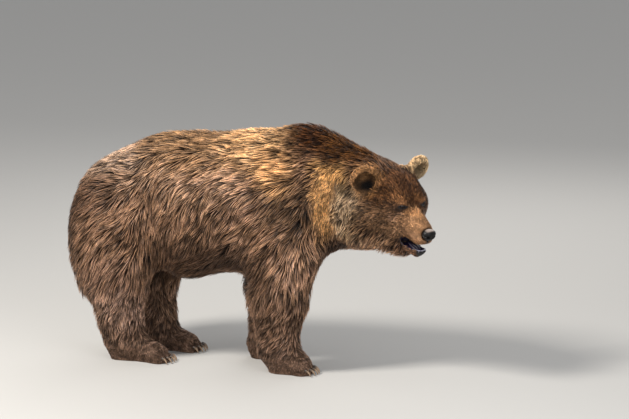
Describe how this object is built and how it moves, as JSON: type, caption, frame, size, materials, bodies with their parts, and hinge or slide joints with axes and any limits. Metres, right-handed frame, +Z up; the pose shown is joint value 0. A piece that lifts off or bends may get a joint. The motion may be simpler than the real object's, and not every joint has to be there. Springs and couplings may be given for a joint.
{
  "type": "brown bear",
  "caption": "Life-size still brown bear standing on all fours, head low and turned to its right, mouth a little open, shaggy brown coat, long claws.",
  "frame": {"origin": "on the floor below the middle of the bear's box", "axes": "+X towards the head end, +Y to the bear's left, +Z up"},
  "size_m": [1.8564, 0.5752, 1.1163],
  "materials": {
    "fur": "long brown fur in locks, golden over the neck and saddle, darker on the legs",
    "nose": "moist black nose leather",
    "tongue": "wet dark purple-grey tongue",
    "eye": "wet dark brown eye",
    "claw": "worn brown horn, paler on the front feet"
  },
  "bodies": {
    "root": {"hips": "fur", "belly": "fur", "chest": "fur", "neck": "fur", "head": "fur", "lower_jaw": "fur", "tail": "fur", "ear_right": "fur", "ear_left": "fur", "upper_leg_front_right": "fur", "lower_leg_front_right": "fur", "paw_front_right": "fur", "upper_leg_front_left": "fur", "lower_leg_front_left": "fur", "paw_front_left": "fur", "upper_leg_hind_right": "fur", "lower_leg_hind_right": "fur", "paw_hind_right": "fur", "upper_leg_hind_left": "fur", "lower_leg_hind_left": "fur", "paw_hind_left": "fur", "nose": "nose", "tongue": "tongue", "eye_right": "eye", "eye_left": "eye", "claw_front_right_1": "claw", "claw_front_right_2": "claw", "claw_front_right_3": "claw", "claw_front_right_4": "claw", "claw_front_right_5": "claw", "claw_front_left_1": "claw", "claw_front_left_2": "claw", "claw_front_left_3": "claw", "claw_front_left_4": "claw", "claw_front_left_5": "claw", "claw_hind_right_1": "claw", "claw_hind_right_2": "claw", "claw_hind_right_3": "claw", "claw_hind_right_4": "claw", "claw_hind_right_5": "claw", "claw_hind_left_1": "claw", "claw_hind_left_2": "claw", "claw_hind_left_3": "claw", "claw_hind_left_4": "claw", "claw_hind_left_5": "claw"}
  },
  "joints": []
}
